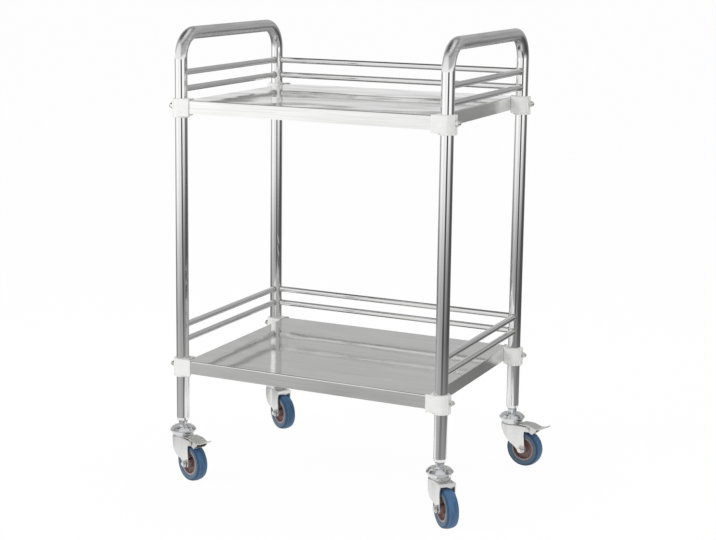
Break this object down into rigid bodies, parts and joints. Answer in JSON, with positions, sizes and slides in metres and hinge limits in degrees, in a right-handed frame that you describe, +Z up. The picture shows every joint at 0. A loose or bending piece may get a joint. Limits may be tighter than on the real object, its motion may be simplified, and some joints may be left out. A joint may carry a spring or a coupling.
{
  "type": "medical trolley",
  "caption": "Two-shelf stainless steel ward trolley with end-frame push handles, guard rails and swivel castors, some with brakes.",
  "frame": {"origin": "on the floor, under the middle of the trolley's outline with its castors as they stand", "axes": "+X along the shelves towards the right-hand end, +Y to the railed back, +Z up"},
  "size_m": [0.6634, 0.4702, 0.895],
  "materials": {
    "stainless_tube": "polished stainless tube",
    "stainless_rod": "polished stainless rod",
    "stainless_sheet": "fine-brushed stainless sheet",
    "white_plastic": "smooth moulded white plastic",
    "bright_fasteners": "bright nickel-plated",
    "plain_steel": "machined",
    "chromed_steel": "bright chrome plate",
    "bearing_steel": "polished and greased",
    "zinc_plated_steel": "satin zinc plate",
    "brown_nylon": "moulded, satin",
    "blue_rubber": "smooth non-marking rubber"
  },
  "bodies": {
    "frame": {"back_left_castor_stem": "chromed_steel", "back_left_castor_top_cup": "chromed_steel", "back_right_castor_stem": "chromed_steel", "back_right_castor_top_cup": "chromed_steel", "cap_nuts": "bright_fasteners", "corner_bolts": "bright_fasteners", "end_frame_left": "stainless_tube", "end_frame_right": "stainless_tube", "front_left_castor_stem": "chromed_steel", "front_left_castor_top_cup": "chromed_steel", "front_right_castor_stem": "chromed_steel", "front_right_castor_top_cup": "chromed_steel", "leg_bushes": "plain_steel", "lower_bracket_back_left": "white_plastic", "lower_bracket_back_right": "white_plastic", "lower_bracket_front_left": "white_plastic", "lower_bracket_front_right": "white_plastic", "lower_rails_back": "stainless_rod", "lower_rails_left": "stainless_rod", "lower_rails_right": "stainless_rod", "lower_tray": "stainless_sheet", "lower_tray_channel": "stainless_sheet", "upper_bracket_back_left": "white_plastic", "upper_bracket_back_right": "white_plastic", "upper_bracket_front_left": "white_plastic", "upper_bracket_front_right": "white_plastic", "upper_rails_back": "stainless_rod", "upper_rails_left": "stainless_rod", "upper_rails_right": "stainless_rod", "upper_tray": "stainless_sheet", "upper_tray_channel": "stainless_sheet"},
    "swivel_front_left": {"front_left_castor_axle_bolt": "bright_fasteners", "front_left_castor_axle_nut": "bright_fasteners", "front_left_castor_ball_row": "bearing_steel", "front_left_castor_brake_pin": "zinc_plated_steel", "front_left_castor_fork": "zinc_plated_steel"},
    "wheel_front_left": {"front_left_castor_tyre": "blue_rubber", "front_left_castor_wheel_hub": "brown_nylon"},
    "swivel_back_left": {"back_left_castor_axle_bolt": "bright_fasteners", "back_left_castor_axle_nut": "bright_fasteners", "back_left_castor_ball_row": "bearing_steel", "back_left_castor_fork": "zinc_plated_steel"},
    "wheel_back_left": {"back_left_castor_tyre": "blue_rubber", "back_left_castor_wheel_hub": "brown_nylon"},
    "swivel_front_right": {"front_right_castor_axle_bolt": "bright_fasteners", "front_right_castor_axle_nut": "bright_fasteners", "front_right_castor_ball_row": "bearing_steel", "front_right_castor_fork": "zinc_plated_steel"},
    "wheel_front_right": {"front_right_castor_tyre": "blue_rubber", "front_right_castor_wheel_hub": "brown_nylon"},
    "swivel_back_right": {"back_right_castor_axle_bolt": "bright_fasteners", "back_right_castor_axle_nut": "bright_fasteners", "back_right_castor_ball_row": "bearing_steel", "back_right_castor_brake_pin": "zinc_plated_steel", "back_right_castor_fork": "zinc_plated_steel"},
    "wheel_back_right": {"back_right_castor_tyre": "blue_rubber", "back_right_castor_wheel_hub": "brown_nylon"},
    "brake_front_left": {"front_left_castor_brake_pedal": "zinc_plated_steel"},
    "brake_back_right": {"back_right_castor_brake_pedal": "zinc_plated_steel"}
  },
  "joints": [
    {"name": "front_left_swivel", "type": "hinge", "parent": "frame", "child": "swivel_front_left", "pos_m": [-0.30497, -0.18074, 0.097], "axis": [0, 0, 1], "continuous": true},
    {"name": "front_left_wheel_spin", "type": "hinge", "parent": "swivel_front_left", "child": "wheel_front_left", "pos_m": [-0.27574, -0.19376, 0.0375], "axis": [0.4067, 0.9135, 0], "continuous": true},
    {"name": "front_left_brake_press", "type": "hinge", "parent": "swivel_front_left", "child": "brake_front_left", "pos_m": [-0.26477, -0.19864, 0.081], "axis": [0.4067, 0.9135, 0], "range_deg": [0, 12.5]},
    {"name": "back_left_swivel", "type": "hinge", "parent": "frame", "child": "swivel_back_left", "pos_m": [-0.30497, 0.20926, 0.097], "axis": [0, 0, 1], "continuous": true},
    {"name": "back_left_wheel_spin", "type": "hinge", "parent": "swivel_back_left", "child": "wheel_back_left", "pos_m": [-0.27783, 0.1923, 0.0375], "axis": [0.5299, 0.848, 0], "continuous": true},
    {"name": "front_right_swivel", "type": "hinge", "parent": "frame", "child": "swivel_front_right", "pos_m": [0.24703, -0.18074, 0.097], "axis": [0, 0, 1], "continuous": true},
    {"name": "front_right_wheel_spin", "type": "hinge", "parent": "swivel_front_right", "child": "wheel_front_right", "pos_m": [0.27005, -0.20297, 0.0375], "axis": [0.6947, 0.7193, 0], "continuous": true},
    {"name": "back_right_swivel", "type": "hinge", "parent": "frame", "child": "swivel_back_right", "pos_m": [0.24703, 0.20926, 0.097], "axis": [0, 0, 1], "continuous": true},
    {"name": "back_right_wheel_spin", "type": "hinge", "parent": "swivel_back_right", "child": "wheel_back_right", "pos_m": [0.27854, 0.2037, 0.0375], "axis": [0.1736, 0.9848, 0], "continuous": true},
    {"name": "back_right_brake_press", "type": "hinge", "parent": "swivel_back_right", "child": "brake_back_right", "pos_m": [0.29036, 0.20161, 0.081], "axis": [0.1736, 0.9848, 0], "range_deg": [0, 12.5]}
  ]
}
